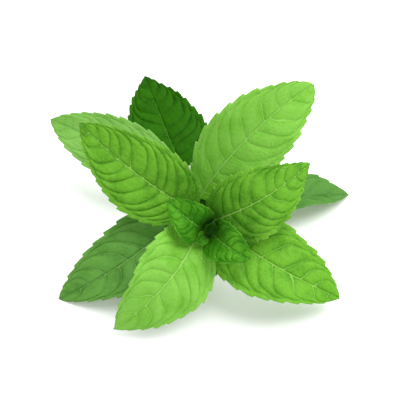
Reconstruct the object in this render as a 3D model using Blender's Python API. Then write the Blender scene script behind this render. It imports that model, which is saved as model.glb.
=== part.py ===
"""A cut sprig top of spearmint, lying on a surface with its growing tip towards the front.

A short square stem rises from its cut end at the back to the shoot tip. Pairs of leaves sit on it, each pair
turned about a quarter round from the last, with the smallest pair at the tip. Every leaf is one closed blade
with a toothed margin, a midrib and a face puckered between its side veins. The lowest leaf at the front lies
flat under the sprig and carries it, with the cut end of the stem and the margins of two side leaves.

Metres, +Z up. The origin is below the middle of the object's box, on the surface. Driving sizes are written
in millimetres and degrees.
"""

import math
import random
from collections import namedtuple

import bmesh
import bpy
import numpy as np

MM = 0.001

# Where the sprig lies on its surface. The shift puts the origin under the middle of the box.
TIP_HEIGHT = 25.2
SHIFT_X = 2.6
SHIFT_Y = -35.8
CLEARANCE = 0.3

# Stem: square with round corners, thicker at each node and towards the cut.
STEM_AZIMUTH = -80.0
STEM_ELEVATION = 20.3
STEM_LENGTH = 68.0
STEM_ROLL = 38.0
STEM_TIP_THICKNESS = 1.9
STEM_CUT_THICKNESS = 3.1
STEM_SQUARENESS = 3.2
STEM_SIDES = 16
STEM_RINGS = 34
NODE_SWELLING = 0.16
NODE_REACH = 1.5
CORNER_SHARE = 1.12

# Leaf blade, the same for every leaf. Depths that suit a full leaf shrink with the width of a smaller one.
FULL_WIDTH = 26.0
BLADE_THICKNESS = 0.62
PETIOLE_WIDTH = 1.9
PETIOLE_SHARE = 0.3
PETIOLE_THICKNESS = 1.2
PETIOLE_REACH = 0.05
MIDRIB_DEPTH = 0.5
MIDRIB_GROOVE = 0.25
MIDRIB_TAPER = 0.6
BASE_ROUNDNESS = 0.62
VEIN_SWEEP = 0.45
VEIN_START = 0.7
VEIN_CURVE = 1.15
TOOTH_DEPTH = 1.0
TOOTH_LEAN = 0.15
TOOTH_POWER = 4
TOOTH_FADE = 12.0
PUCKER_FADE = 8.0
DROOP_POWER = 3
MARGIN_CURL = 0.1
MARGIN_WAVE = 0.35
MARGIN_WAVES = 3
ROWS_PER_VEIN = 3
COLUMNS = (0.06, 0.38, 0.7, 1.0)
POINT_ROW = 0.9999

# Shoot tip: a bud with small leaves folded round it, in crossed pairs that get smaller and steeper.
BUD_RADIUS = 0.9
BUD_LENGTH = 3.4
BUD_SEGMENTS = 12
BUD_RINGS = 8
BUD_SEED = 5
BUD_HEADING = -38.0
BUD_HEADING_SPREAD = 6.0
BUD_ANGLE_SPREAD = 4.0
BUD_LENGTH_SPREAD = 0.1
BUD_LEAF_LENGTHS = (5.2, 3.6, 3.2)
BUD_LEAF_WIDTHS = (2.6, 2.3, 2.0)
BUD_LEAF_ANGLES = (38.0, 4.0, 6.0)
BUD_LEAF_FOLD = 26.0
BUD_LEAF_ARCH = -0.8
BUD_LEAF_DROOP = 0.4
BUD_LEAF_WIDEST = 0.45
BUD_LEAF_PUCKER = 0.5
BUD_LEAF_VEINS = 2
BUD_ROOT_DEPTH = 0.5
BUD_ROOT_HEIGHT = 1.2
BUD_PAIR_STEP = 0.5

# One line for each leaf. node is how far its pair sits behind the tip of the stem. azimuth and elevation are
# the direction from its root to its point, and roll and twist turn its face about that line. fold is how far
# each half rises from the midrib. arch, bow and droop bend the midrib up, sideways and down at its point.
# widest is the place of the greatest width. pucker is the depth of the quilting, in veins bands a side.
Leaf = namedtuple(
    "Leaf", "name node azimuth elevation length width roll twist fold arch bow droop widest pucker veins"
)
LEAVES = (
    Leaf("leaf_1_left", 0, 170, 44, 15.5, 14.0, -50, 16, 20, 3.5, -1.0, 2.0, 0.42, 0.50, 5),
    Leaf("leaf_1_right", 0, -48, 4, 17.5, 15.0, 54, -30, 18, 2.0, 0.5, 1.0, 0.46, 0.50, 5),
    Leaf("leaf_2_left", 6, -130, -20, 45.0, 27.0, -42, -17, 12, 9.0, 0.5, 3.0, 0.43, 0.35, 8),
    Leaf("leaf_2_right", 6, 16, 26, 39.5, 25.5, 49, 12, 12, 5.5, 1.0, 3.0, 0.38, 0.35, 8),
    Leaf("leaf_3_left", 14, 156, 30, 50.5, 27.5, -39, -12, 12, 4.5, -1.5, 1.5, 0.39, 0.50, 8),
    Leaf("leaf_3_right", 14, -30, -12, 54.0, 30.5, 31, -29, 12, 5.0, 4.5, 3.0, 0.44, 0.38, 8),
    Leaf("leaf_4_left", 26, -144, -13, 57.0, 27.0, -22, 12, 14, 4.5, -5.5, 2.5, 0.45, 0.35, 8),
    Leaf("leaf_4_right", 26, 30, 34, 56.5, 29.5, 49, 20, 12, 4.5, -5.0, 2.5, 0.45, 0.28, 8),
    Leaf("leaf_5_left", 40, 154, 10, 56.0, 24.0, -37, 0, 12, 3.0, 0.5, 1.0, 0.44, 0.28, 8),
    Leaf("leaf_5_right", 40, 6, -9, 58.5, 26.5, 12, -28, 24, 0.0, 4.0, 1.5, 0.50, 0.28, 8),
    Leaf("leaf_6_back", 50, 106, 3, 53.0, 29.0, -8, 0, 12, -1.5, 0.0, 0.5, 0.38, 0.42, 8),
    Leaf("leaf_6_front", 50, -82, -11, 50.0, 25.0, 0, 0, 6, 1.0, 0.0, 0.0, 0.44, 0.30, 8),
)

# Colour and roughness of each material. Nothing here is metal.
LEAF_GREEN = (0.075, 0.23, 0.03)
OLD_LEAF_GREEN = (0.03, 0.13, 0.02)
YOUNG_LEAF_GREEN = (0.05, 0.2, 0.03)
STEM_GREEN = (0.2, 0.3, 0.09)
LEAF_ROUGHNESS = 0.55
STEM_ROUGHNESS = 0.45
SHARP_ANGLE = 50.0


def direction(azimuth, elevation):
    """Unit vector at an azimuth from +X and an elevation above the surface, both in degrees."""
    turn = math.radians(azimuth)
    rise = math.radians(elevation)
    return np.array([math.cos(rise) * math.cos(turn), math.cos(rise) * math.sin(turn), math.sin(rise)])


def unit(vector):
    return vector / np.linalg.norm(vector)


STEM_DIRECTION = direction(STEM_AZIMUTH, STEM_ELEVATION)
STEM_TIP = np.array([SHIFT_X, SHIFT_Y, TIP_HEIGHT])


def stem_point(behind):
    """Point on the stem's axis, a distance behind its tip."""
    return STEM_TIP - STEM_DIRECTION * behind


def stem_half_thickness(behind):
    """Half the stem across its flat sides, with a swelling at each node."""
    half = 0.5 * (STEM_TIP_THICKNESS + (STEM_CUT_THICKNESS - STEM_TIP_THICKNESS) * behind / STEM_LENGTH)
    for node in sorted({leaf.node for leaf in LEAVES}):
        half = half * (1 + NODE_SWELLING * math.exp(-(((behind - node) / NODE_REACH) ** 2)))
    return half


def across(axis, roll):
    """Two unit vectors square to an axis, the upright and the sideways one, turned about it by roll degrees."""
    up = np.array([0.0, 0.0, 1.0])
    upright = unit(up - up.dot(axis) * axis)
    sideways = np.cross(axis, upright)
    turn = math.radians(roll)
    face = math.cos(turn) * upright + math.sin(turn) * sideways
    return face, math.cos(turn) * sideways - math.sin(turn) * upright


def leaf_root(leaf):
    """Where a leaf starts: outside its node, with the clearance that touching pieces keep."""
    chord = direction(leaf.azimuth, leaf.elevation)
    outward = unit(chord - chord.dot(STEM_DIRECTION) * STEM_DIRECTION)
    reach = stem_half_thickness(leaf.node) * CORNER_SHARE + CLEARANCE + 0.5 * PETIOLE_THICKNESS
    return stem_point(leaf.node) + outward * reach


def half_outline(along, widest):
    """A blade's half width as a share of its greatest, from root to point."""
    point = BASE_ROUNDNESS * (1 - widest) / widest
    shape = along**BASE_ROUNDNESS * (1 - along) ** point
    return shape / (widest**BASE_ROUNDNESS * (1 - widest) ** point)


def blade_surface(leaf, root, rows, share, tooth):
    """Middle surface of a blade, at points given by vein row and by share of the half width.

    rows runs from 0 at the root to 1 at the point. A row follows the side veins, so it meets the margin
    nearer the point. share is 0 on the midrib and 1 or -1 on a margin. tooth is 0 in a notch and 1 on a tooth.
    """
    size = leaf.width / FULL_WIDTH
    side_share = np.abs(share)
    sweep = VEIN_SWEEP * side_share**VEIN_CURVE * rows**VEIN_START * (1 - rows)
    lean = TOOTH_LEAN * tooth * side_share * (1 - rows) / leaf.veins
    along = np.clip(rows + sweep + lean, 0, 1)
    ends = np.clip(TOOTH_FADE * along * (1 - along), 0, 1)
    half = 0.5 * leaf.width * half_outline(along, leaf.widest)
    half = np.hypot(half, 0.5 * min(PETIOLE_WIDTH, PETIOLE_SHARE * leaf.width) * (1 - along))
    half = half + TOOTH_DEPTH * size * (tooth - 0.5) * side_share**TOOTH_POWER * ends

    chord = direction(leaf.azimuth, leaf.elevation)
    upright, sideways = across(chord, 0)
    turn = np.radians(leaf.roll + leaf.twist * along)[..., None]
    face = np.cos(turn) * upright + np.sin(turn) * sideways
    side = np.cos(turn) * sideways - np.sin(turn) * upright

    hump = 4 * along * (1 - along)
    lift = leaf.arch * hump - leaf.droop * along**DROOP_POWER
    mid_face, mid_side = across(chord, leaf.roll + 0.5 * leaf.twist)
    midrib = root + chord * (leaf.length * along)[..., None]
    midrib = midrib + mid_face * lift[..., None] + mid_side * (leaf.bow * hump)[..., None]

    fold = math.radians(leaf.fold)
    band = np.cos(2 * math.pi * leaf.veins * rows)
    pucker = -leaf.pucker * size * band * np.sin(math.pi * side_share)
    pucker = pucker * np.clip(PUCKER_FADE * rows * (1 - rows), 0, 1)
    wave = MARGIN_WAVE * size * side_share**2 * np.sin(2 * math.pi * MARGIN_WAVES * along + np.sign(share))
    height = half * (side_share * math.sin(fold) - MARGIN_CURL * side_share**2) + pucker + wave
    return midrib + side * (half * share * math.cos(fold))[..., None] + face * height[..., None]


def grid_normals(grid):
    """Unit normals of a grid of points, on the side that the leaf's upper face looks to."""
    normals = np.cross(np.gradient(grid, axis=1), np.gradient(grid, axis=0))
    return normals / np.linalg.norm(normals, axis=-1, keepdims=True)


def blade_faces_points(leaf, root):
    """Grids of a blade's upper and lower face. The last row is its point, and nothing is below the surface."""
    row_count = ROWS_PER_VEIN * leaf.veins
    columns = np.array([-share for share in reversed(COLUMNS)] + [0.0] + list(COLUMNS))
    rows, share = np.meshgrid(np.linspace(0, POINT_ROW, row_count + 1), columns, indexing="ij")
    tooth = np.arange(row_count + 1)[:, None] % 2 * np.ones_like(share)
    middle = blade_surface(leaf, root, rows, share, tooth)
    normals = grid_normals(middle)
    size = min(leaf.width / FULL_WIDTH, 1.0)
    petiole = np.exp(-rows / PETIOLE_REACH)
    on_rib = np.where(np.abs(share) < COLUMNS[0], 1 - MIDRIB_TAPER * rows, 0) * (1 - petiole) * size
    thickness = BLADE_THICKNESS + (PETIOLE_THICKNESS - BLADE_THICKNESS) * petiole * size
    upper = middle + normals * (0.5 * thickness - MIDRIB_GROOVE * on_rib)[..., None]
    lower = middle - normals * (0.5 * thickness + MIDRIB_DEPTH * on_rib)[..., None]
    rise = np.maximum(-np.minimum(upper, lower)[..., 2], 0)
    upper[..., 2] += rise
    lower[..., 2] += rise
    return upper, lower


def blade_mesh(leaf, root):
    """One leaf as a closed bmesh of triangles, split alike on both faces."""
    upper, lower = blade_faces_points(leaf, root)
    last = upper.shape[0] - 1
    width = upper.shape[1]
    centre = width // 2
    mesh = bmesh.new()

    def corners(grid):
        rings = [[mesh.verts.new(point * MM) for point in row] for row in grid[:last]]
        rings.append([mesh.verts.new(grid[last, centre] * MM)] * width)
        return rings

    top = corners(upper)
    bottom = corners(lower)

    def both_faces(*places):
        ring = [top[row][column] for row, column in places]
        if len(set(ring)) == len(ring):
            mesh.faces.new(ring)
            mesh.faces.new([bottom[row][column] for row, column in reversed(places)])

    for row in range(last):
        for column in range(width - 1):
            near = (row, column)
            near_next = (row, column + 1)
            far = (row + 1, column)
            far_next = (row + 1, column + 1)
            if column < centre:
                both_faces(near, near_next, far)
                both_faces(near_next, far_next, far)
            else:
                both_faces(near, far_next, far)
                both_faces(near, near_next, far_next)
        for edge in (0, width - 1):
            mesh.faces.new([top[row][edge], top[row + 1][edge], bottom[row + 1][edge], bottom[row][edge]])
    for column in range(width - 1):
        mesh.faces.new([top[0][column], top[0][column + 1], bottom[0][column + 1], bottom[0][column]])
    return mesh


def finish_mesh(name, mesh, material):
    """Turns a bmesh into an object with one material, its faces pointing out."""
    bmesh.ops.recalc_face_normals(mesh, faces=mesh.faces)
    data = bpy.data.meshes.new(name)
    mesh.to_mesh(data)
    mesh.free()
    data.materials.append(material)
    thing = bpy.data.objects.new(name, data)
    bpy.context.scene.collection.objects.link(thing)
    shade(thing)
    return thing


def shade(thing):
    thing.data.shade_smooth()
    thing.data.set_sharp_from_angle(angle=math.radians(SHARP_ANGLE))


def join(body, others):
    """Joins loose solids to a body with one Boolean union, and removes them."""
    repeats = bpy.data.collections.new("repeats")
    bpy.context.scene.collection.children.link(repeats)
    for thing in others:
        bpy.context.scene.collection.objects.unlink(thing)
        repeats.objects.link(thing)
    union = body.modifiers.new("union", "BOOLEAN")
    union.operation = "UNION"
    union.operand_type = "COLLECTION"
    union.collection = repeats
    union.solver = "EXACT"
    graph = bpy.context.evaluated_depsgraph_get()
    joined = bpy.data.meshes.new_from_object(body.evaluated_get(graph))
    body.modifiers.clear()
    body.data = joined
    for thing in others:
        bpy.data.objects.remove(thing, do_unlink=True)
    bpy.data.collections.remove(repeats)
    shade(body)


def plant_material(name, colour, roughness):
    material = bpy.data.materials.new(name)
    material.use_nodes = True
    shader = material.node_tree.nodes["Principled BSDF"]
    shader.inputs["Base Color"].default_value = (*colour, 1.0)
    shader.inputs["Roughness"].default_value = roughness
    shader.inputs["Metallic"].default_value = 0.0
    material.diffuse_color = (*colour, 1.0)
    return material


def make_stem(material):
    """The square stem, from its end under the shoot tip to the flat cut."""
    face, side = across(STEM_DIRECTION, STEM_ROLL)
    angles = np.arange(STEM_SIDES) * 2 * math.pi / STEM_SIDES
    corner = np.abs(np.cos(angles)) ** STEM_SQUARENESS + np.abs(np.sin(angles)) ** STEM_SQUARENESS
    section = corner ** (-1 / STEM_SQUARENESS)
    mesh = bmesh.new()
    rings = []
    for behind in np.linspace(0, STEM_LENGTH, STEM_RINGS):
        reach = stem_half_thickness(behind) * section
        offsets = np.outer(reach * np.cos(angles), face) + np.outer(reach * np.sin(angles), side)
        points = stem_point(behind) + offsets
        points[:, 2] = np.maximum(points[:, 2], 0)
        rings.append([mesh.verts.new(point * MM) for point in points])
    for ring, following in zip(rings, rings[1:]):
        for i in range(STEM_SIDES):
            j = (i + 1) % STEM_SIDES
            mesh.faces.new([ring[i], ring[j], following[j], following[i]])
    mesh.faces.new(rings[0])
    mesh.faces.new(rings[-1])
    finish_mesh("stem", mesh, material)


def bud_leaf(name, pair, heading, angle, length):
    """One small leaf of the bud and its root. It leans out from the stem's line and faces the bud."""
    outward, _ = across(STEM_DIRECTION, heading)
    lean = math.radians(angle)
    chord = math.cos(lean) * STEM_DIRECTION + math.sin(lean) * outward
    upright, sideways = across(chord, 0)
    leaf = Leaf(
        name=name,
        node=0,
        azimuth=math.degrees(math.atan2(chord[1], chord[0])),
        elevation=math.degrees(math.asin(chord[2])),
        length=length,
        width=BUD_LEAF_WIDTHS[pair],
        roll=math.degrees(math.atan2(-outward.dot(sideways), -outward.dot(upright))),
        twist=0,
        fold=BUD_LEAF_FOLD,
        arch=BUD_LEAF_ARCH,
        bow=0,
        droop=BUD_LEAF_DROOP,
        widest=BUD_LEAF_WIDEST,
        pucker=BUD_LEAF_PUCKER,
        veins=BUD_LEAF_VEINS,
    )
    height = CLEARANCE + BUD_ROOT_HEIGHT + BUD_PAIR_STEP * pair
    root = STEM_TIP + STEM_DIRECTION * height + outward * (BUD_RADIUS - BUD_ROOT_DEPTH)
    return leaf, root


def bud_leaves():
    """The small leaves round the bud with their roots, in crossed pairs, with a little seeded variety."""
    draw = random.Random(BUD_SEED)
    found = []
    for pair, (length, angle) in enumerate(zip(BUD_LEAF_LENGTHS, BUD_LEAF_ANGLES)):
        for opposite in (0, 1):
            heading = BUD_HEADING + 90 * pair + 180 * opposite
            heading += draw.uniform(-BUD_HEADING_SPREAD, BUD_HEADING_SPREAD)
            lean = angle + draw.uniform(-BUD_ANGLE_SPREAD, BUD_ANGLE_SPREAD)
            long = length * draw.uniform(1 - BUD_LENGTH_SPREAD, 1 + BUD_LENGTH_SPREAD)
            found.append(bud_leaf(f"bud_leaf_{pair}_{opposite}", pair, heading, lean, long))
    return found


def make_shoot_tip(material):
    """The bud and the small leaves that still clasp it, joined into one body."""
    mesh = bmesh.new()
    bmesh.ops.create_uvsphere(mesh, u_segments=BUD_SEGMENTS, v_segments=BUD_RINGS, radius=BUD_RADIUS)
    face, side = across(STEM_DIRECTION, STEM_ROLL)
    middle = STEM_TIP + STEM_DIRECTION * (0.5 * BUD_LENGTH + CLEARANCE)
    for vertex in mesh.verts:
        x, y, z = vertex.co
        lift = z / BUD_RADIUS * 0.5 * BUD_LENGTH
        vertex.co = (middle + face * x + side * y + STEM_DIRECTION * lift) * MM
    bud = finish_mesh("shoot_tip", mesh, material)
    join(bud, [finish_mesh(leaf.name, blade_mesh(leaf, root), material) for leaf, root in bud_leaves()])


def main():
    for thing in list(bpy.data.objects):
        bpy.data.objects.remove(thing, do_unlink=True)
    young = plant_material("young_leaf", YOUNG_LEAF_GREEN, LEAF_ROUGHNESS)
    grown = plant_material("grown_leaf", LEAF_GREEN, LEAF_ROUGHNESS)
    old = plant_material("old_leaf", OLD_LEAF_GREEN, LEAF_ROUGHNESS)
    by_node = {LEAVES[0].node: young, LEAVES[-1].node: old}
    for leaf in LEAVES:
        material = by_node.get(leaf.node, grown)
        finish_mesh(leaf.name, blade_mesh(leaf, leaf_root(leaf)), material)
    make_stem(plant_material("stem", STEM_GREEN, STEM_ROUGHNESS))
    make_shoot_tip(young)


main()
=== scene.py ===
"""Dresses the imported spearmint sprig: fine blades, stem and shoot tip in place of the plain solids, with their
materials, a white ground, soft light and the camera.

Sizes are in millimetres and degrees unless a name says otherwise, and every object is made in metres.
"""

import math
import random
from collections import namedtuple

import bpy
import numpy as np
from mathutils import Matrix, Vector


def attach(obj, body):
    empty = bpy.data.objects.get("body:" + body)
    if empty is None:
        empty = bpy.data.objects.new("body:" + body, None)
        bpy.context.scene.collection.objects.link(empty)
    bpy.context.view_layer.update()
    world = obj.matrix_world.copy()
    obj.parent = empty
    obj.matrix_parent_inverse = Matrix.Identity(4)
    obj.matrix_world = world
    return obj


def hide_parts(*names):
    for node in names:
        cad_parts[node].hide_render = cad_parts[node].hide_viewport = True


MM = 0.001
BODY = "root"

# Where the sprig lies, and the clearance at each leaf's root. The solids use the same values.
TIP_HEIGHT = 25.2
SHIFT_X = 2.6
SHIFT_Y = -35.8
CLEARANCE = 0.3

# Stem, as in the solids, with finer sides.
STEM_AZIMUTH = -80.0
STEM_ELEVATION = 20.3
STEM_LENGTH = 68.0
STEM_ROLL = 38.0
STEM_TIP_THICKNESS = 1.9
STEM_CUT_THICKNESS = 3.1
STEM_SQUARENESS = 3.2
STEM_SIDES = 48
STEM_RINGS = 240
STEM_FLUTING = 0.035
NODE_SWELLING = 0.16
NODE_REACH = 1.5
CORNER_SHARE = 1.12
CUT_RINGS = 5
CUT_HOLLOW = 0.25

# Blade, as in the solids.
FULL_WIDTH = 26.0
PETIOLE_WIDTH = 1.9
PETIOLE_SHARE = 0.3
PETIOLE_THICKNESS = 1.2
PETIOLE_REACH = 0.05
MIDRIB_DEPTH = 0.5
MIDRIB_GROOVE = 0.25
MIDRIB_TAPER = 0.6
TOOTH_DEPTH = 1.0
TOOTH_LEAN = 0.15
TOOTH_POWER = 4
TOOTH_FADE = 12.0
PUCKER_FADE = 8.0
DROOP_POWER = 3
MARGIN_CURL = 0.1
MARGIN_WAVE = 0.35
MARGIN_WAVES = 3
POINT_ROW = 0.9999

# Course of the side veins, and of the corners at a blade's base. The solids have plainer ones.
VEIN_SWEEP = 0.6
VEIN_START = 0.7
VEIN_CURVE = 1.45
VEIN_CROWDING = 1.25
LOBE_POWER = 8

# Finer than the solids: how closely a blade is divided, and what its relief adds.
ROWS_PER_BAND = 22
COLUMNS_PER_SIDE = 36
SMALL_LEAF = 10.0
SMALL_ROWS_PER_BAND = 9
SMALL_COLUMNS_PER_SIDE = 14
TEETH_PER_BAND = 1.3
TOOTH_PEAK = 0.86
TOOTH_VARIETY = 0.35
TOOTH_BELLY = 0.8
EDGE_THICKNESS = 0.3
BLADE_THICKNESS = 0.45
RIB_WIDTH = 0.5
LOOP_START = 0.55
LOOP_END = 0.86
LOOP_WIDTH = 0.03
LOOP_DEPTH = 0.45
SIDE_OFFSET = 0.35
VEIN_WOBBLE = 0.16
PUFF_POWER = 2.2
PUFF_LEVEL = 0.6
RIB_CLEAR = 1.2
RELIEF = 1.7
MARGIN_LEVEL = 0.55
MARGIN_PUFF = 0.2
CELL_DEPTH = 0.05
CELLS_ACROSS = 6.0
WAVINESS = 0.4
ROOT_SINK = 0.7
ROOT_STEP = 0.1

# Shoot tip: a bud with small leaves round it, in the space of the solid one.
BUD_RADIUS = 0.9
BUD_LENGTH = 2.4
BUD_LEAF_WIDEST = 0.42
BUD_LEAF_BASE = 0.45
BUD_LEAF_PUCKER = 0.4
BUD_LEAF_VEINS = 3
BUD_ROOT_DEPTH = 0.5

# Its small leaves, from the outside in. heading is measured round the stem from its upper side, height is how
# far a root sits beyond the stem's tip, and angle is how far a leaf leans out from the line of the stem. light
# is above 1 for a leaf that stands out of the painted shade of the hollow, and below 1 for one deep in it.
BudLeaf = namedtuple("BudLeaf", "heading height angle length width fold arch droop light")
BUD_LEAVES = (
    BudLeaf(-20, 2.0, 65, 5.2, 4.6, 22, -0.8, 0.4, 1.0),
    BudLeaf(112, 1.5, 52, 4.8, 5.6, 24, -0.6, 1.0, 1.8),
    BudLeaf(50, 1.2, 16, 2.2, 2.4, 26, -0.4, 0.2, 0.3),
    BudLeaf(230, 1.2, 14, 2.0, 2.4, 26, -0.4, 0.2, 0.3),
    BudLeaf(-40, 1.4, 6, 1.7, 1.8, 26, -0.3, 0.2, 0.3),
    BudLeaf(140, 1.4, 4, 1.7, 1.8, 26, -0.3, 0.2, 0.3),
)

# The bud itself, finer.
BUD_SIDES = 32
BUD_STEPS = 24

# Camera: it looks along +Y and down.
CAMERA_ELEVATION = 45.0
CAMERA_DISTANCE = 450.0
VIEW_WIDTH = 136.0
TARGET = (0.22, -28.11, 32.89)
SENSOR_WIDTH = 36.0

# The white ground gives back a little light of its own, as an over-lit studio table does.
GROUND_GLOW = 0.06
GROUND_REACH = 3.0

# The leaves. Each has the root, length, turns and bends of its solid. Some blades are a little broader or
# fuller at the base. node is the distance of a pair behind the stem's tip, roll and twist turn the face about
# the leaf's own line, fold raises its halves, and arch, bow and droop bend the midrib up, sideways and down.
# widest is the place of the greatest width, a small base fills out the blade near its root, and lobe is how far
# its corners reach back past the root. pucker is the depth of the quilting between the side veins.
LEAF_FIELDS = "name node azimuth elevation length width roll twist fold arch bow droop"
Leaf = namedtuple("Leaf", LEAF_FIELDS + " widest base lobe pucker veins")
LEAVES = (
    Leaf("leaf_1_left", 0, 170, 44, 15.5, 15.0, -50, 16, 20, 3.5, -1.0, 2.0, 0.30, 0.26, 0.05, 0.45, 6),
    Leaf("leaf_1_right", 0, -48, 4, 17.5, 15.0, 54, -30, 18, 2.0, 0.5, 1.0, 0.32, 0.28, 0.05, 0.45, 6),
    Leaf("leaf_2_left", 6, -130, -20, 45.0, 28.5, -42, -17, 12, 9.0, 0.5, 3.0, 0.43, 0.60, 0.00, 0.32, 9),
    Leaf("leaf_2_right", 6, 16, 26, 39.5, 25.5, 49, 12, 12, 5.5, 1.0, 3.0, 0.38, 0.56, 0.00, 0.36, 10),
    Leaf("leaf_3_left", 14, 156, 30, 50.5, 27.5, -39, -12, 12, 4.5, -1.5, 1.5, 0.39, 0.56, 0.00, 0.45, 11),
    Leaf("leaf_3_right", 14, -30, -12, 54.0, 30.5, 31, -29, 12, 5.0, 4.5, 3.0, 0.44, 0.56, 0.00, 0.35, 9),
    Leaf("leaf_4_left", 26, -144, -13, 57.0, 27.0, -22, 12, 14, 4.5, -5.5, 2.5, 0.45, 0.62, 0.00, 0.32, 9),
    Leaf("leaf_4_right", 26, 30, 34, 56.5, 30.5, 49, 20, 12, 4.5, -5.0, 2.5, 0.45, 0.55, 0.00, 0.25, 9),
    Leaf("leaf_5_left", 40, 154, 10, 56.0, 24.0, -37, 0, 12, 3.0, 0.5, 1.0, 0.44, 0.62, 0.00, 0.20, 9),
    Leaf("leaf_5_right", 40, 6, -9, 58.5, 26.5, 12, -28, 24, 0.0, 4.0, 1.5, 0.50, 0.62, 0.00, 0.25, 9),
    Leaf("leaf_6_back", 50, 107, 3, 53.0, 31.0, -8, 0, 12, -1.5, 0.0, 0.5, 0.34, 0.45, 0.00, 0.45, 9),
    Leaf("leaf_6_front", 50, -82, -11, 50.0, 25.0, 0, 0, 6, 1.0, 0.0, 0.0, 0.44, 0.62, 0.00, 0.30, 9),
)

# Painted shade at the dark hollow at the heart of the sprig: where it is from the stem's tip, along the stem, up
# and sideways, how far its darkest painted shade reaches, how far a milder painted darkening reaches, how much
# less a distance along the stem counts, and the dark green painted there.
HEART_PLACE = (1.0, 3.0, -1.0)
HEART_REACH = 7.5
HEART_GLOOM = 22.0
HEART_DEPTH = 0.45
HEART_SHADE_GREEN = (0.005, 0.045, 0.0004)

# Greens: on the puffs, in the hollows and on the veins, how clearly the veins show, how much light passes, and
# how much the face shines. The hollow green is darker than the puff green as painted shade in the creases of the
# quilting.
Look = namedtuple("Look", "slot puff hollow vein vein_strength glow gloss")
YOUNG = Look("young_leaf", (0.095, 0.350, 0.016), (0.022, 0.160, 0.001), (0.19, 0.50, 0.06), 0.55, 0.28, 0.06)
TENDER = Look("young_leaf", (0.150, 0.480, 0.030), (0.030, 0.190, 0.002), (0.24, 0.58, 0.08), 0.55, 0.32, 0.06)
FRESH = Look("grown_leaf", (0.145, 0.410, 0.022), (0.046, 0.215, 0.002), (0.36, 0.66, 0.13), 0.80, 0.30, 0.10)
BRIGHT = Look("grown_leaf", (0.240, 0.560, 0.070), (0.145, 0.440, 0.018), (0.46, 0.74, 0.22), 0.70, 0.35, 0.15)
PALE = Look("grown_leaf", (0.240, 0.510, 0.100), (0.155, 0.400, 0.052), (0.34, 0.58, 0.18), 0.30, 0.30, 0.15)
BLUISH = Look("grown_leaf", (0.078, 0.245, 0.028), (0.038, 0.165, 0.010), (0.22, 0.43, 0.11), 0.50, 0.25, 0.20)
# SHADY's darker green is painted shade, for the low leaf that lies under the front leaf.
SHADY = Look("grown_leaf", (0.115, 0.320, 0.045), (0.034, 0.155, 0.008), (0.26, 0.50, 0.14), 0.55, 0.25, 0.20)
# DEEP is partly an older leaf's darker green and partly painted shade, for the leaves that lie behind and under
# the others.
DEEP = Look("old_leaf", (0.022, 0.125, 0.0015), (0.008, 0.070, 0.0003), (0.060, 0.220, 0.012), 0.50, 0.20, 0.04)
LOOKS = {
    "leaf_1_left": YOUNG,
    "leaf_1_right": TENDER,
    "leaf_2_left": BRIGHT,
    "leaf_2_right": FRESH,
    "leaf_3_left": FRESH,
    "leaf_3_right": FRESH,
    "leaf_4_left": SHADY,
    "leaf_4_right": BRIGHT,
    "leaf_5_left": PALE,
    "leaf_5_right": BLUISH,
    "leaf_6_back": DEEP,
    "leaf_6_front": DEEP,
}


def direction(azimuth, elevation):
    """Unit vector at an azimuth from +X and an elevation above the surface, both in degrees."""
    turn = math.radians(azimuth)
    rise = math.radians(elevation)
    return np.array([math.cos(rise) * math.cos(turn), math.cos(rise) * math.sin(turn), math.sin(rise)])


def unit(vector):
    return vector / np.linalg.norm(vector)


STEM_DIRECTION = direction(STEM_AZIMUTH, STEM_ELEVATION)
STEM_TIP = np.array([SHIFT_X, SHIFT_Y, TIP_HEIGHT])


def stem_point(behind):
    """Point on the stem's axis, a distance behind its tip."""
    return STEM_TIP - STEM_DIRECTION * behind


def stem_half_thickness(behind):
    """Half the stem across its flat sides, with a swelling at each node."""
    half = 0.5 * (STEM_TIP_THICKNESS + (STEM_CUT_THICKNESS - STEM_TIP_THICKNESS) * behind / STEM_LENGTH)
    for node in sorted({leaf.node for leaf in LEAVES}):
        half = half * (1 + NODE_SWELLING * math.exp(-(((behind - node) / NODE_REACH) ** 2)))
    return half


def across(axis, roll):
    """Two unit vectors square to an axis, the upright and the sideways one, turned about it by roll degrees."""
    up = np.array([0.0, 0.0, 1.0])
    upright = unit(up - up.dot(axis) * axis)
    sideways = np.cross(axis, upright)
    turn = math.radians(roll)
    face = math.cos(turn) * upright + math.sin(turn) * sideways
    return face, math.cos(turn) * sideways - math.sin(turn) * upright


def leaf_root(leaf):
    """Where a leaf starts outside its node, and the unit vector out from the stem there."""
    chord = direction(leaf.azimuth, leaf.elevation)
    outward = unit(chord - chord.dot(STEM_DIRECTION) * STEM_DIRECTION)
    reach = stem_half_thickness(leaf.node) * CORNER_SHARE + CLEARANCE + 0.5 * PETIOLE_THICKNESS
    return stem_point(leaf.node) + outward * reach, outward


def half_outline(along, widest, base):
    """A blade's half width as a share of its greatest, from root to point."""
    point = base * (1 - widest) / widest
    shape = along**base * (1 - along) ** point
    return shape / (widest**base * (1 - widest) ** point)


def smooth_step(low, high, value):
    """0 below low and 1 above high, with a smooth rise between."""
    share = np.clip((value - low) / (high - low), 0, 1)
    return share * share * (3 - 2 * share)


def to_nearest(value):
    """Distance to the nearest whole number, from 0 to 0.5."""
    return np.abs(value - np.round(value))


def teeth(leaf, rows, draw):
    """0 in the notches of the margin and up to 1 on its teeth, which point forward."""
    count = int(TEETH_PER_BAND * leaf.veins)
    sizes = np.array([1 - TOOTH_VARIETY * draw.random() for _ in range(count + 1)])
    place = rows ** (1 / VEIN_CROWDING) * count
    index = np.clip(np.floor(place).astype(int), 0, count)
    phase = place - np.floor(place)
    rising = (phase / TOOTH_PEAK) ** TOOTH_BELLY
    falling = (1 - phase) / (1 - TOOTH_PEAK)
    return np.minimum(rising, falling) * sizes[index]


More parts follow.
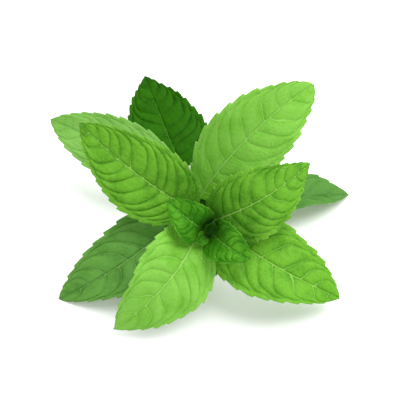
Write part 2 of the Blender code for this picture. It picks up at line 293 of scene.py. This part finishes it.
def vein_number(leaf, rows, share, draw):
    """Counts side veins towards the point. It is whole on a vein. Near the margin each vein arches forward until
    it meets the next one."""
    sides = np.where(share < 0, 0.0, SIDE_OFFSET)
    arch = np.clip((np.abs(share) - LOOP_START) / (LOOP_END - LOOP_START), 0, 1)
    swing = draw.uniform(0, 2 * math.pi)
    wobble = VEIN_WOBBLE * np.sin(5 * math.pi * rows + swing + 2 * np.sign(share))
    wobble = wobble + 0.5 * VEIN_WOBBLE * np.sin(13 * math.pi * rows + 2.1 * swing + 5 * share)
    return leaf.veins * rows ** (1 / VEIN_CROWDING) + sides + wobble - 1 + np.sqrt(1 - arch**2)


def quilting(number, share, reach):
    """Relief of the blade, 0 in its veins and 1 on the puffs between them."""
    side_share = np.abs(share)
    puff = 1 - (1 - 2 * to_nearest(number)) ** PUFF_POWER
    small_puff = 1 - (1 - 2 * to_nearest(2 * number)) ** PUFF_POWER
    margin = smooth_step(LOOP_END - LOOP_WIDTH, LOOP_END + LOOP_WIDTH, side_share)
    quilt = puff * (1 - margin) + (MARGIN_LEVEL + MARGIN_PUFF * small_puff) * margin
    quilt = quilt - LOOP_DEPTH * np.exp(-(((side_share - LOOP_END) / LOOP_WIDTH) ** 2))
    return quilt * smooth_step(0, RIB_CLEAR, reach)


def vein_spacing(grid, number):
    """Millimetres from one side vein to the next, at each point of a blade."""
    slopes = []
    for way in (0, 1):
        slopes.append(np.gradient(number, axis=way) / np.linalg.norm(np.gradient(grid, axis=way), axis=-1))
    return 1 / np.clip(np.hypot(*slopes), 0.1, 4)


def blade_surface(leaf, root, rows, share, tooth, relief):
    """Middle surface of a blade, at points given by vein row and by share of the half width.

    rows runs from 0 at the root to 1 at the point. A row follows the side veins, so it meets the margin
    nearer the point. share is 0 on the midrib and 1 or -1 on a margin. tooth is 0 in a notch and 1 on a tooth.
    relief is the height in millimetres that stands on the smooth surface. Also gives the half width there and
    the share of the length.
    """
    size = leaf.width / FULL_WIDTH
    side_share = np.abs(share)
    sweep = VEIN_SWEEP * side_share**VEIN_CURVE * rows**VEIN_START * (1 - rows)
    lean = TOOTH_LEAN * tooth * side_share * (1 - rows) / leaf.veins
    along = np.clip(rows + sweep + lean, 0, 1)
    ends = np.clip(TOOTH_FADE * along * (1 - along), 0, 1)
    half = 0.5 * leaf.width * half_outline(along, leaf.widest, leaf.base)
    half = np.hypot(half, 0.5 * min(PETIOLE_WIDTH, PETIOLE_SHARE * leaf.width) * (1 - along))
    half = half + TOOTH_DEPTH * size * (tooth - 0.5) * side_share**TOOTH_POWER * ends

    chord = direction(leaf.azimuth, leaf.elevation)
    upright, sideways = across(chord, 0)
    turn = np.radians(leaf.roll + leaf.twist * along)[..., None]
    face = np.cos(turn) * upright + np.sin(turn) * sideways
    side = np.cos(turn) * sideways - np.sin(turn) * upright

    hump = 4 * along * (1 - along)
    lift = leaf.arch * hump - leaf.droop * along**DROOP_POWER
    mid_face, mid_side = across(chord, leaf.roll + 0.5 * leaf.twist)
    lobe = leaf.lobe * side_share**2 * (1 - rows) ** LOBE_POWER
    midrib = root + chord * (leaf.length * (along - lobe))[..., None]
    midrib = midrib + mid_face * lift[..., None] + mid_side * (leaf.bow * hump)[..., None]

    fold = math.radians(leaf.fold)
    wave = MARGIN_WAVE * size * side_share**2 * np.sin(2 * math.pi * MARGIN_WAVES * along + np.sign(share))
    height = half * (side_share * math.sin(fold) - MARGIN_CURL * side_share**2) + relief + wave
    points = midrib + side * (half * share * math.cos(fold))[..., None] + face * height[..., None]
    return points, half, along


def grid_normals(grid):
    """Unit normals of a grid of points, on the side that the leaf's upper face looks to."""
    normals = np.cross(np.gradient(grid, axis=1), np.gradient(grid, axis=0))
    return normals / np.maximum(np.linalg.norm(normals, axis=-1, keepdims=True), 1e-9)


def blade_arrays(leaf, root, outward, seed):
    """Points, faces, per-point values and flat coordinates of one fine blade, closed and facing out."""
    draw = random.Random(seed)
    size = min(leaf.width / FULL_WIDTH, 1.0)
    is_small = leaf.width < SMALL_LEAF
    row_count = (SMALL_ROWS_PER_BAND if is_small else ROWS_PER_BAND) * leaf.veins
    half_columns = np.linspace(0, 1, (SMALL_COLUMNS_PER_SIDE if is_small else COLUMNS_PER_SIDE) + 1) ** 1.1
    columns = np.concatenate([-half_columns[:0:-1], half_columns])
    row_places = np.linspace(0, 1, row_count + 1) ** VEIN_CROWDING * POINT_ROW
    rows, share = np.meshgrid(row_places, columns, indexing="ij")
    side_share = np.abs(share)

    tooth = teeth(leaf, rows, draw)
    number = vein_number(leaf, rows, share, draw)
    plain, half, along = blade_surface(leaf, root, rows, share, tooth, 0 * rows)
    reach = half * side_share
    quilt = quilting(number, share, reach)
    cells = np.cos(2 * math.pi * CELLS_ACROSS * side_share + 3 * np.floor(number))
    cells = cells * np.sin(math.pi * number) ** 2
    phases = [draw.uniform(0, 2 * math.pi) for _ in range(3)]
    swell = np.sin(7 * rows + phases[0] + 2.3 * share) + np.sin(11 * rows - 3.1 * share + phases[1])
    swell = swell + 0.6 * np.sin(17 * rows + 5.2 * share + phases[2])
    inner = np.clip(PUCKER_FADE * rows * (1 - rows), 0, 1)
    relief = RELIEF * leaf.pucker * (quilt - PUFF_LEVEL * smooth_step(0, RIB_CLEAR, reach))
    relief = relief + CELL_DEPTH * cells * np.sin(math.pi * side_share) + 0.5 * WAVINESS * swell * side_share
    middle, half, along = blade_surface(leaf, root, rows, share, tooth, relief * size * inner)
    normals = grid_normals(middle)
    petiole = np.exp(-rows / PETIOLE_REACH)
    rib = np.exp(-((reach / RIB_WIDTH) ** 2)) * (1 - MIDRIB_TAPER * rows) * (1 - petiole) * size
    body = EDGE_THICKNESS + (BLADE_THICKNESS - EDGE_THICKNESS) * (1 - side_share**3)
    round_part = PETIOLE_THICKNESS * np.sqrt(np.clip(1 - 0.92 * side_share**2, 0, 1))
    thickness = body * (1 - petiole) + round_part * petiole * size
    upper = middle + normals * (0.5 * thickness - MIDRIB_GROOVE * rib)[..., None]
    lower = middle - normals * (0.5 * thickness + MIDRIB_DEPTH * rib)[..., None]
    rise = np.maximum(-np.minimum(upper, lower)[..., 2], 0)
    upper[..., 2] += rise
    lower[..., 2] += rise

    inward = root - stem_point(leaf.node)
    step = outward * max(inward.dot(outward) - ROOT_SINK, ROOT_STEP)
    upper = np.concatenate([upper[:1] - step, upper])
    lower = np.concatenate([lower[:1] - step, lower])

    count_rows, count_columns = upper.shape[:2]
    index = np.arange(count_rows * count_columns).reshape(count_rows, count_columns)
    under = index + index.size
    quads = [
        np.stack([index[:-1, :-1], index[:-1, 1:], index[1:, 1:], index[1:, :-1]], axis=-1).reshape(-1, 4),
        np.stack([under[:-1, :-1], under[1:, :-1], under[1:, 1:], under[:-1, 1:]], axis=-1).reshape(-1, 4),
        np.stack([index[:-1, 0], index[1:, 0], under[1:, 0], under[:-1, 0]], axis=-1),
        np.stack([index[:-1, -1], under[:-1, -1], under[1:, -1], index[1:, -1]], axis=-1),
        np.stack([index[0, :-1], under[0, :-1], under[0, 1:], index[0, 1:]], axis=-1),
        np.stack([index[-1, :-1], index[-1, 1:], under[-1, 1:], under[-1, :-1]], axis=-1),
    ]
    points = np.concatenate([upper.reshape(-1, 3), lower.reshape(-1, 3)])

    def twice(values):
        padded = np.concatenate([values[:1], values]).ravel()
        return np.concatenate([padded, padded])

    is_under = np.concatenate([np.zeros(index.size), np.ones(index.size)])
    values = {
        "vein_number": twice(number),
        "share": twice(side_share),
        "reach": twice(reach),
        "quilt": twice(quilt),
        "along": twice(along),
        "under": is_under,
        "heart": heart_distance(points),
        "spacing": twice(vein_spacing(middle, number)),
    }
    flat = np.stack([twice(leaf.length * along), twice(half * share)], axis=-1)
    return points, np.concatenate(quads), values, flat


def ring_cap(ring):
    """Four-sided faces across a ring of point numbers, an even count of them."""
    half = len(ring) // 2
    near = ring[:half]
    far = ring[half:][::-1]
    return np.stack([near[:-1], near[1:], far[1:], far[:-1]], axis=-1)


def heart_distance(points):
    """Distance of each point from the dark hollow, less of it counted along the stem, which sets how much
    painted shade a point gets.
    """
    axes = np.array([STEM_DIRECTION, *across(STEM_DIRECTION, 0)])
    return np.linalg.norm(((points - STEM_TIP) @ axes.T - HEART_PLACE) * (HEART_DEPTH, 1, 1), axis=-1)


def fine_mesh(name, points, quads, values, flat, material):
    """An object from arrays in millimetres, smooth shaded, with its per-point values and flat coordinates."""
    data = bpy.data.meshes.new(name)
    data.from_pydata((points * MM).tolist(), [], quads.tolist())
    for key, numbers in values.items():
        layer = data.attributes.new(key, "FLOAT", "POINT")
        layer.data.foreach_set("value", numbers.astype(np.float32))
    corner_points = np.empty(len(data.loops), np.int32)
    data.loops.foreach_get("vertex_index", corner_points)
    plane = data.uv_layers.new(name="leaf_plane")
    plane.data.foreach_set("uv", flat[corner_points].astype(np.float32).ravel())
    data.validate()
    data.shade_smooth()
    data.materials.append(material)
    thing = bpy.data.objects.new(name, data)
    bpy.context.scene.collection.objects.link(thing)
    return thing


def merged(parts):
    """Several sets of blade arrays as one."""
    points, quads, flats = [], [], []
    values = {key: [] for key in parts[0][2]}
    start = 0
    for part_points, part_quads, part_values, part_flat in parts:
        points.append(part_points)
        quads.append(part_quads + start)
        flats.append(part_flat)
        for key in values:
            values[key].append(part_values[key])
        start += len(part_points)
    joined = {key: np.concatenate(found) for key, found in values.items()}
    return np.concatenate(points), np.concatenate(quads), joined, np.concatenate(flats)


class Nodes:
    """Short names for adding and linking the nodes of one material."""

    def __init__(self, name):
        self.material = bpy.data.materials.new(name)
        self.material.use_nodes = True
        self.tree = self.material.node_tree
        self.shader = self.tree.nodes["Principled BSDF"]
        self.output = self.tree.nodes["Material Output"]

    def add(self, kind, **settings):
        node = self.tree.nodes.new(kind)
        for key, value in settings.items():
            setattr(node, key, value)
        return node

    def plug(self, source, socket):
        if hasattr(source, "links") or hasattr(source, "is_output"):
            self.tree.links.new(source, socket)
        else:
            socket.default_value = source

    def value(self, name):
        return self.add("ShaderNodeAttribute", attribute_type="GEOMETRY", attribute_name=name).outputs["Fac"]

    def math(self, operation, first, second=0.0, third=0.0):
        node = self.add("ShaderNodeMath", operation=operation)
        for source, socket in zip((first, second, third), node.inputs):
            self.plug(source, socket)
        return node.outputs[0]

    def ramp(self, value, low, high, start=0.0, end=1.0):
        """start below low and end above high, with a smooth change between."""
        node = self.add("ShaderNodeMapRange", interpolation_type="SMOOTHSTEP")
        for source, key in zip(
            (value, low, high, start, end), ("Value", "From Min", "From Max", "To Min", "To Max")
        ):
            self.plug(source, node.inputs[key])
        return node.outputs["Result"]

    def mix(self, share, first, second, blend="MIX"):
        node = self.add("ShaderNodeMix", data_type="RGBA", blend_type=blend)
        self.plug(share, node.inputs[0])
        for source, socket in ((first, node.inputs[6]), (second, node.inputs[7])):
            self.plug(source if not isinstance(source, tuple) else (*source, 1.0), socket)
        return node.outputs[2]

    def noise(self, coordinates, scale, detail=3.0, roughness=0.5):
        node = self.add("ShaderNodeTexNoise")
        self.plug(coordinates, node.inputs["Vector"])
        node.inputs["Scale"].default_value = scale
        node.inputs["Detail"].default_value = detail
        node.inputs["Roughness"].default_value = roughness
        return node.outputs["Fac"]

    def bump(self, height, distance, strength, normal=None):
        node = self.add("ShaderNodeBump")
        self.plug(height, node.inputs["Height"])
        node.inputs["Distance"].default_value = distance
        node.inputs["Strength"].default_value = strength
        if normal is not None:
            self.plug(normal, node.inputs["Normal"])
        return node.outputs["Normal"]


def leaf_material(name, look):
    """Green blade: pale veins in its hollows, a fine net between them, and light that passes through, with
    painted shade darkening the quilting's hollows and the heart of the sprig.
    """
    nodes = Nodes(name)
    plane = nodes.add("ShaderNodeUVMap", uv_map="leaf_plane").outputs["UV"]
    number = nodes.value("vein_number")
    share = nodes.value("share")
    reach = nodes.value("reach")
    quilt = nodes.value("quilt")
    along = nodes.value("along")
    under = nodes.value("under")

    off_vein = nodes.math("PINGPONG", number, 0.5)
    from_vein = nodes.math("MULTIPLY", off_vein, nodes.value("spacing"))
    thin = nodes.ramp(share, 0.1, 0.9, 0.24, 0.16)
    side_vein = nodes.ramp(from_vein, 0.04, thin, 1.0, 0.0)
    side_vein = nodes.math("MULTIPLY", side_vein, nodes.ramp(share, 0.2, 0.86, 1.0, 0.5))
    twin = nodes.math("PINGPONG", nodes.math("MULTIPLY", number, 2.0), 0.5)
    spur = nodes.math("MULTIPLY", nodes.ramp(twin, 0.02, 0.1, 0.35, 0.0), nodes.ramp(share, 0.85, 0.87))
    side_vein = nodes.math("MAXIMUM", side_vein, spur)
    side_vein = nodes.math("MULTIPLY", side_vein, nodes.ramp(along, 0.9, 0.98, 1.0, 0.3))
    rib_width = nodes.ramp(along, 0.0, 1.0, 0.42, 0.12)
    midrib = nodes.ramp(reach, nodes.math("MULTIPLY", rib_width, 0.3), rib_width, 1.0, 0.0)

    net = nodes.add("ShaderNodeTexVoronoi", feature="DISTANCE_TO_EDGE")
    nodes.plug(plane, net.inputs["Vector"])
    net.inputs["Scale"].default_value = 0.62
    net_line = nodes.ramp(net.outputs["Distance"], 0.0, 0.10, 1.0, 0.0)
    fine = nodes.add("ShaderNodeTexVoronoi", feature="DISTANCE_TO_EDGE")
    nodes.plug(plane, fine.inputs["Vector"])
    fine.inputs["Scale"].default_value = 1.7
    fine_line = nodes.ramp(fine.outputs["Distance"], 0.0, 0.16, 1.0, 0.0)

    patches = nodes.noise(plane, 0.13, 3.0, 0.5)
    grain = nodes.noise(plane, 1.6, 4.0, 0.6)
    # Painted shade: the green runs from the darker hollow colour in the quilting's creases to the puff colour on
    # its crests.
    level = nodes.ramp(quilt, 0.0, 0.8, 0.25, 0.7)
    level = nodes.math("ADD", level, nodes.ramp(patches, 0.3, 0.7, -0.3, 0.3))
    heart = nodes.value("heart")
    # Painted shade: a milder darkening out to HEART_GLOOM from the hollow.
    level = nodes.math("ADD", level, nodes.ramp(heart, HEART_REACH, HEART_GLOOM, -0.45, 0.1))
    level = nodes.math("ADD", level, nodes.ramp(grain, 0.25, 0.75, -0.08, 0.08))
    green = nodes.mix(nodes.ramp(level, 0.0, 1.0), look.hollow, look.puff)
    green = nodes.mix(nodes.math("MULTIPLY", net_line, 0.18 * look.vein_strength), green, look.vein)
    green = nodes.mix(nodes.math("MULTIPLY", fine_line, 0.08 * look.vein_strength), green, look.vein)
    green = nodes.mix(nodes.ramp(share, 0.97, 1.0, 0.0, 0.3), green, look.vein)
    green = nodes.mix(nodes.math("MULTIPLY", side_vein, look.vein_strength), green, look.vein)
    green = nodes.mix(nodes.math("MULTIPLY", midrib, 0.8), green, look.vein)
    below = nodes.mix(0.5, look.puff, (0.22, 0.40, 0.11))
    below = nodes.mix(nodes.math("MULTIPLY", side_vein, 0.8), below, (0.34, 0.52, 0.19))
    below = nodes.mix(nodes.math("MULTIPLY", midrib, 0.9), below, (0.38, 0.55, 0.22))
    below = nodes.mix(nodes.math("MULTIPLY", net_line, 0.3), below, (0.30, 0.48, 0.16))
    tip = nodes.math("MULTIPLY", nodes.ramp(along, 0.88, 1.0), nodes.ramp(share, 0.9, 1.0))
    green = nodes.mix(nodes.math("MULTIPLY", tip, 0.6), green, (0.10, 0.09, 0.03))
    blush = nodes.math("MULTIPLY", nodes.ramp(along, 0.02, 0.2, 1.0, 0.0), midrib)
    green = nodes.mix(nodes.math("MULTIPLY", blush, 0.45), green, (0.34, 0.30, 0.12))
    colour = nodes.mix(under, green, below)
    # Painted shade: near the hollow the colour goes to a near-black green.
    colour = nodes.mix(nodes.ramp(heart, 1.5, HEART_REACH, 0.92, 0.0), colour, HEART_SHADE_GREEN)

    height = nodes.ramp(net.outputs["Distance"], 0.0, 0.4)
    height = nodes.math("ADD", height, nodes.math("MULTIPLY", side_vein, -0.6))
    height = nodes.math("ADD", height, nodes.ramp(fine.outputs["Distance"], 0.0, 0.35, 0.0, 0.35))
    height = nodes.math("ADD", height, nodes.math("MULTIPLY", grain, 0.5))
    normal = nodes.bump(height, 0.0002, 0.4)

    shader = nodes.shader
    nodes.plug(colour, shader.inputs["Base Color"])
    nodes.plug(nodes.ramp(grain, 0.2, 0.8, 0.42, 0.6), shader.inputs["Roughness"])
    shader.inputs["Specular IOR Level"].default_value = look.gloss
    nodes.plug(normal, shader.inputs["Normal"])

    through = nodes.add("ShaderNodeBsdfTranslucent")
    glow = nodes.mix(0.45, colour, (0.38, 0.80, 0.04))
    nodes.plug(glow, through.inputs["Color"])
    nodes.plug(normal, through.inputs["Normal"])
    blend = nodes.add("ShaderNodeMixShader")
    blend.inputs[0].default_value = look.glow
    nodes.tree.links.new(shader.outputs[0], blend.inputs[1])
    nodes.tree.links.new(through.outputs[0], blend.inputs[2])
    nodes.tree.links.new(blend.outputs[0], nodes.output.inputs["Surface"])
    return nodes.material


def stem_material():
    """Pale green skin with fine lengthwise streaks and a brown-red flush at the nodes, and a pale cut, with
    painted shade darkening it near the hollow.
    """
    nodes = Nodes("stem_skin")
    flush = nodes.value("flush")
    cut = nodes.value("cut")
    plane = nodes.add("ShaderNodeUVMap", uv_map="leaf_plane").outputs["UV"]
    stretch = nodes.add("ShaderNodeMapping")
    nodes.plug(plane, stretch.inputs["Vector"])
    stretch.inputs["Scale"].default_value = (0.12, 2.4, 1.0)
    streaks = nodes.noise(stretch.outputs["Vector"], 1.5, 4.0, 0.6)
    grain = nodes.noise(plane, 3.0, 3.0, 0.5)
    green = nodes.mix(nodes.ramp(streaks, 0.3, 0.7), (0.16, 0.30, 0.06), (0.34, 0.50, 0.16))
    green = nodes.mix(nodes.math("MULTIPLY", flush, 0.5), green, (0.26, 0.16, 0.09))
    colour = nodes.mix(cut, green, nodes.mix(grain, (0.42, 0.52, 0.26), (0.60, 0.66, 0.42)))
    # Painted shade: near the hollow the stem's colour goes to a near-black green.
    colour = nodes.mix(nodes.ramp(nodes.value("heart"), 1.5, HEART_REACH, 0.92, 0.0), colour, HEART_SHADE_GREEN)
    shader = nodes.shader
    nodes.plug(colour, shader.inputs["Base Color"])
    nodes.plug(nodes.ramp(grain, 0.2, 0.8, 0.36, 0.52), shader.inputs["Roughness"])
    height = nodes.math("ADD", streaks, nodes.math("MULTIPLY", grain, 0.3))
    nodes.plug(nodes.bump(height, 0.0002, 0.5), shader.inputs["Normal"])
    return nodes.material


def make_leaf(leaf, number):
    look = LOOKS[leaf.name]
    root, outward = leaf_root(leaf)
    arrays = blade_arrays(leaf, root, outward, number)
    blade = fine_mesh(f"{leaf.name}_blade", *arrays, leaf_material(f"{leaf.name}_skin", look))
    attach(blade, BODY)
    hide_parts(leaf.name)


def make_stem():
    """The square stem with slightly hollow sides, from its end under the shoot tip to the cut."""
    face, side = across(STEM_DIRECTION, STEM_ROLL)
    angles = np.arange(STEM_SIDES) * 2 * math.pi / STEM_SIDES
    corner = np.abs(np.cos(angles)) ** STEM_SQUARENESS + np.abs(np.sin(angles)) ** STEM_SQUARENESS
    section = corner ** (-1 / STEM_SQUARENESS) * (1 - STEM_FLUTING * np.cos(4 * angles))
    rings, flush, cut, places = [], [], [], []
    nodes_at = sorted({leaf.node for leaf in LEAVES})
    for behind in np.linspace(0, STEM_LENGTH, STEM_RINGS):
        reach = stem_half_thickness(behind) * section
        offsets = np.outer(reach * np.cos(angles), face) + np.outer(reach * np.sin(angles), side)
        rings.append(stem_point(behind) + offsets)
        flush.append(max(math.exp(-(((behind - node) / (2 * NODE_REACH)) ** 2)) for node in nodes_at))
        cut.append(0.0)
        places.append(behind)
    end = rings[-1]
    middle = stem_point(STEM_LENGTH)
    for ring in range(1, CUT_RINGS + 1):
        inner = 1 - ring / CUT_RINGS
        hollow = STEM_DIRECTION * CUT_HOLLOW * (1 - inner**2)
        rings.append(middle + (end - middle) * max(inner, 0.02) + hollow)
        flush.append(0.0)
        cut.append(1.0)
        places.append(STEM_LENGTH + ring)
    points = np.array(rings)
    points[..., 2] = np.maximum(points[..., 2], 0)
    count = len(rings)
    index = np.arange(count * STEM_SIDES).reshape(count, STEM_SIDES)
    turned = np.roll(index, -1, axis=1)
    quads = np.stack([index[:-1], turned[:-1], turned[1:], index[1:]], axis=-1).reshape(-1, 4)
    quads = np.concatenate([quads, ring_cap(index[0][::-1]), ring_cap(index[-1])])[:, ::-1]
    values = {
        "flush": np.repeat(flush, STEM_SIDES),
        "cut": np.repeat(cut, STEM_SIDES),
        "heart": heart_distance(points.reshape(-1, 3)),
    }
    girth = np.tile(np.arange(STEM_SIDES) * math.pi * STEM_TIP_THICKNESS / STEM_SIDES, count)
    flat = np.stack([np.repeat(places, STEM_SIDES), girth], axis=-1)
    stem = fine_mesh("stem_fine", points.reshape(-1, 3), quads, values, flat, stem_material())
    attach(stem, BODY)
    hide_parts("stem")


def bud_leaf(form):
    """One small leaf of the bud, its root and the way out from the bud. It leans out and faces the bud."""
    outward, _ = across(STEM_DIRECTION, form.heading)
    lean = math.radians(form.angle)
    chord = math.cos(lean) * STEM_DIRECTION + math.sin(lean) * outward
    upright, sideways = across(chord, 0)
    leaf = Leaf(
        name="bud_leaf",
        node=0,
        azimuth=math.degrees(math.atan2(chord[1], chord[0])),
        elevation=math.degrees(math.asin(chord[2])),
        length=form.length,
        width=form.width,
        roll=math.degrees(math.atan2(-outward.dot(sideways), -outward.dot(upright))),
        twist=0,
        fold=form.fold,
        arch=form.arch,
        bow=0,
        droop=form.droop,
        widest=BUD_LEAF_WIDEST,
        base=BUD_LEAF_BASE,
        lobe=0,
        pucker=BUD_LEAF_PUCKER,
        veins=BUD_LEAF_VEINS,
    )
    root = STEM_TIP + STEM_DIRECTION * form.height + outward * (BUD_RADIUS - BUD_ROOT_DEPTH)
    return leaf, root, outward


def bud_body():
    """The bud's own body as blade arrays, a closed egg on the end of the stem."""
    face, side = across(STEM_DIRECTION, STEM_ROLL)
    middle = STEM_TIP + STEM_DIRECTION * (0.5 * BUD_LENGTH + CLEARANCE)
    angles = np.arange(BUD_SIDES) * 2 * math.pi / BUD_SIDES
    rings = []
    for turn in np.linspace(0.02, math.pi - 0.02, BUD_STEPS):
        reach = BUD_RADIUS * math.sin(turn)
        offsets = np.outer(reach * np.cos(angles), face) + np.outer(reach * np.sin(angles), side)
        rings.append(middle + offsets - STEM_DIRECTION * 0.5 * BUD_LENGTH * math.cos(turn) * 1.1)
    points = np.array(rings).reshape(-1, 3)
    index = np.arange(len(points)).reshape(BUD_STEPS, BUD_SIDES)
    turned = np.roll(index, -1, axis=1)
    quads = np.stack([index[:-1], turned[:-1], turned[1:], index[1:]], axis=-1).reshape(-1, 4)
    quads = np.concatenate([quads, ring_cap(index[0][::-1]), ring_cap(index[-1])])
    plain = np.full(len(points), 0.4)
    values = {key: plain for key in ("vein_number", "share", "quilt", "along")}
    values["reach"] = plain + 2
    values["under"] = np.zeros(len(points))
    # A heart distance of 0 paints the whole bud with the darkest painted shade.
    values["heart"] = np.zeros(len(points))
    values["spacing"] = plain + 2
    flat = points[:, :2]
    return points, quads, values, flat


def make_shoot_tip():
    """The bud and the small leaves that clasp it."""
    parts = [bud_body()]
    for number, form in enumerate(BUD_LEAVES):
        leaf, root, outward = bud_leaf(form)
        arrays = blade_arrays(leaf, root, outward, len(LEAVES) + number)
        # Scales the painted shade of the hollow on this leaflet.
        arrays[2]["heart"] *= form.light
        parts.append(arrays)
    tip = fine_mesh("shoot_tip_fine", *merged(parts), leaf_material("shoot_tip_skin", YOUNG))
    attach(tip, BODY)
    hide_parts("shoot_tip")


def make_ground():
    """The plain white surface that the sprig lies on."""
    data = bpy.data.meshes.new("ground")
    corners = [(x * GROUND_REACH, y * GROUND_REACH, 0) for x, y in ((-1, -1), (1, -1), (1, 1), (-1, 1))]
    data.from_pydata(corners, [], [(0, 1, 2, 3)])
    ground = bpy.data.objects.new("ground", data)
    bpy.context.scene.collection.objects.link(ground)
    nodes = Nodes("white_ground")
    nodes.shader.inputs["Base Color"].default_value = (0.92, 0.93, 0.92, 1.0)
    nodes.shader.inputs["Roughness"].default_value = 0.7
    nodes.shader.inputs["Emission Color"].default_value = (1.0, 1.0, 1.0, 1.0)
    nodes.shader.inputs["Emission Strength"].default_value = GROUND_GLOW
    data.materials.append(nodes.material)


def area_light(name, place, aim, size, power, colour=(1.0, 1.0, 1.0)):
    lamp = bpy.data.lights.new(name, "AREA")
    lamp.shape = "DISK"
    lamp.size = size
    lamp.energy = power
    lamp.color = colour
    thing = bpy.data.objects.new(name, lamp)
    thing.location = place
    thing.rotation_euler = (Vector(aim) - Vector(place)).to_track_quat("-Z", "Y").to_euler()
    bpy.context.scene.collection.objects.link(thing)


def make_light():
    """Soft light from above and behind, with an even white fill. Colours are shown as they are, unfilmed."""
    middle = (0.0, 0.0, 0.03)
    area_light("key", (0.5, 0.2, 0.95), middle, 1.3, 17.0)
    area_light("front_fill", (-0.2, -0.9, 0.7), middle, 0.9, 1.5)
    world = bpy.data.worlds.new("white_room")
    world.use_nodes = True
    world.node_tree.nodes["Background"].inputs["Color"].default_value = (1.0, 1.0, 1.0, 1.0)
    world.node_tree.nodes["Background"].inputs["Strength"].default_value = 0.8
    bpy.context.scene.world = world
    bpy.context.scene.view_settings.view_transform = "Standard"


def make_camera():
    lens = bpy.data.cameras.new("view")
    lens.sensor_width = SENSOR_WIDTH
    lens.lens = SENSOR_WIDTH * CAMERA_DISTANCE / VIEW_WIDTH
    lens.clip_start = 0.01
    lens.clip_end = 20.0
    camera = bpy.data.objects.new("view", lens)
    rise = math.radians(CAMERA_ELEVATION)
    back = Vector((0.0, -math.cos(rise), math.sin(rise)))
    camera.location = (Vector(TARGET) + back * CAMERA_DISTANCE) * MM
    camera.rotation_euler = (-back).to_track_quat("-Z", "Y").to_euler()
    bpy.context.scene.collection.objects.link(camera)
    bpy.context.scene.camera = camera


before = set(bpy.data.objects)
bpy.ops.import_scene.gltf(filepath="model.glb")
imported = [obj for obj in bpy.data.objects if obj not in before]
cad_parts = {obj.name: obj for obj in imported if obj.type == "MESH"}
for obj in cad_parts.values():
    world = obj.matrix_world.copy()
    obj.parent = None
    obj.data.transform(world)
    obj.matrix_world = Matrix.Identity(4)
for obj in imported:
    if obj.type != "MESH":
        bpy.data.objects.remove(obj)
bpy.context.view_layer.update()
for number, leaf in enumerate(LEAVES):
    make_leaf(leaf, number)
make_stem()
make_shoot_tip()
make_ground()
make_light()
make_camera()
